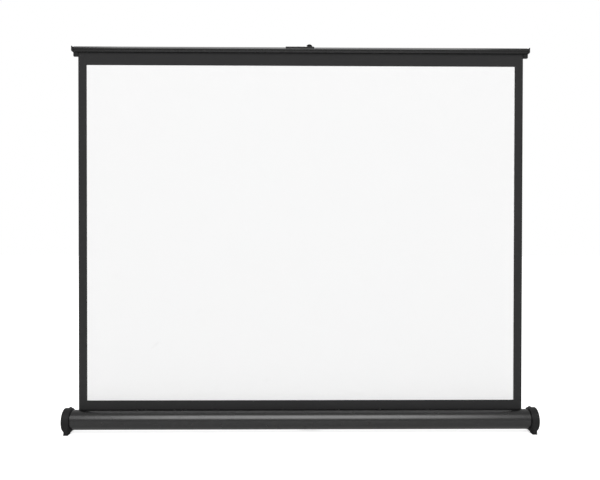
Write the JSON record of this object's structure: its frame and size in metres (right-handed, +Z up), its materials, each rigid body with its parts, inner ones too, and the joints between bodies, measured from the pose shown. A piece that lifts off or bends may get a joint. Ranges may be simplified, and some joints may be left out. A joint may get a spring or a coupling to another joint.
{
  "type": "portable projection screen",
  "caption": "Table-top pull-up projection screen: round housing with feet, black-bordered white screen, top rail held up by a folding arm behind it",
  "frame": {"origin": "centre of the bounding box in plan, on the floor under the feet", "axes": "+X along the housing to the viewer's right, +Y to the rear, away from the viewing side, +Z up"},
  "size_m": [1.116, 0.1424, 0.9247],
  "materials": {
    "black_aluminium": "satin black powder coat",
    "black_arm_aluminium": "satin black anodised",
    "black_plastic": "fine moulded grain, matt black",
    "black_steel": "black oxide with a light oil sheen",
    "plated_steel": "zinc plated",
    "roller_steel": "bare steel tube",
    "spring_steel": "oiled spring steel",
    "black_rubber": "matt black rubber",
    "white_plastic": "white nylon",
    "white_screen_fabric": "matt white projection coating with a fine weave",
    "black_screen_fabric": "matt black coated cloth"
  },
  "bodies": {
    "housing": {"housing_tube": "black_aluminium", "end_cap_left": "black_plastic", "end_cap_right": "black_plastic", "end_cap_cover_left": "black_plastic", "end_cap_cover_right": "black_plastic", "front_pad_left": "black_rubber", "front_pad_right": "black_rubber", "leg_screw_left": "plated_steel", "leg_screw_right": "plated_steel", "end_cap_screws": "plated_steel", "idle_axle": "plated_steel", "spring_axle": "plated_steel", "roller_spring": "spring_steel", "spring_collar": "black_plastic", "screen_backing": "black_screen_fabric", "viewing_surface": "white_screen_fabric", "screen_border": "black_screen_fabric", "base_pivot_pin": "black_steel", "base_washer": "white_plastic", "arm_base_bracket": "black_steel", "base_bracket_screws": "plated_steel"},
    "roller": {"roller_tube": "roller_steel", "screen_wraps": "black_screen_fabric", "roller_plug_left": "black_plastic", "roller_plug_right": "black_plastic", "spring_anchor": "black_plastic"},
    "lower_arm": {"lower_arm": "black_arm_aluminium", "knee_pin": "black_steel", "knee_washer": "white_plastic"},
    "upper_arm": {"upper_arm": "black_arm_aluminium"},
    "rail": {"rail_profile": "black_aluminium", "rail_cap_left": "black_plastic", "rail_cap_right": "black_plastic", "screen_spline": "black_plastic", "rail_bracket": "black_steel", "bracket_rivets": "plated_steel", "top_pivot_pin": "black_steel", "top_washer": "white_plastic"},
    "rear_leg_left": {"rear_leg_left": "black_steel", "leg_pad_left": "black_rubber"},
    "rear_leg_right": {"rear_leg_right": "black_steel", "leg_pad_right": "black_rubber"}
  },
  "joints": [
    {"name": "arm_fold", "type": "hinge", "parent": "housing", "child": "lower_arm", "pos_m": [0.019, -0.01105, 0.0469], "axis": [0, -1, 0], "range_deg": [0, 88], "deforming": ["screen_backing", "viewing_surface", "screen_border"]},
    {"name": "arm_knee", "type": "hinge", "parent": "lower_arm", "child": "upper_arm", "pos_m": [0.019, -0.01105, 0.4818], "axis": [0, -1, 0], "range_deg": [-176.5, 0]},
    {"name": "rail_level", "type": "hinge", "parent": "upper_arm", "child": "rail", "pos_m": [0.019, -0.01105, 0.9167], "axis": [0, -1, 0], "range_deg": [0, 88.5]},
    {"name": "roller_spin", "type": "hinge", "parent": "housing", "child": "roller", "pos_m": [0, -0.04375, 0.0305], "axis": [-1, 0, 0], "range_deg": [0, 3360]},
    {"name": "leg_swing_left", "type": "hinge", "parent": "housing", "child": "rear_leg_left", "pos_m": [-0.5495, -0.03175, 0.005], "axis": [0, 0, -1], "range_deg": [0, 90]},
    {"name": "leg_swing_right", "type": "hinge", "parent": "housing", "child": "rear_leg_right", "pos_m": [0.5495, -0.03175, 0.005], "axis": [0, 0, 1], "range_deg": [0, 90]}
  ],
  "couplings": [
    {"joint": "arm_knee", "follows": "arm_fold", "ratio": -2},
    {"joint": "rail_level", "follows": "arm_fold", "ratio": 1},
    {"joint": "roller_spin", "follows": "arm_fold", "ratio": 38.1}
  ]
}
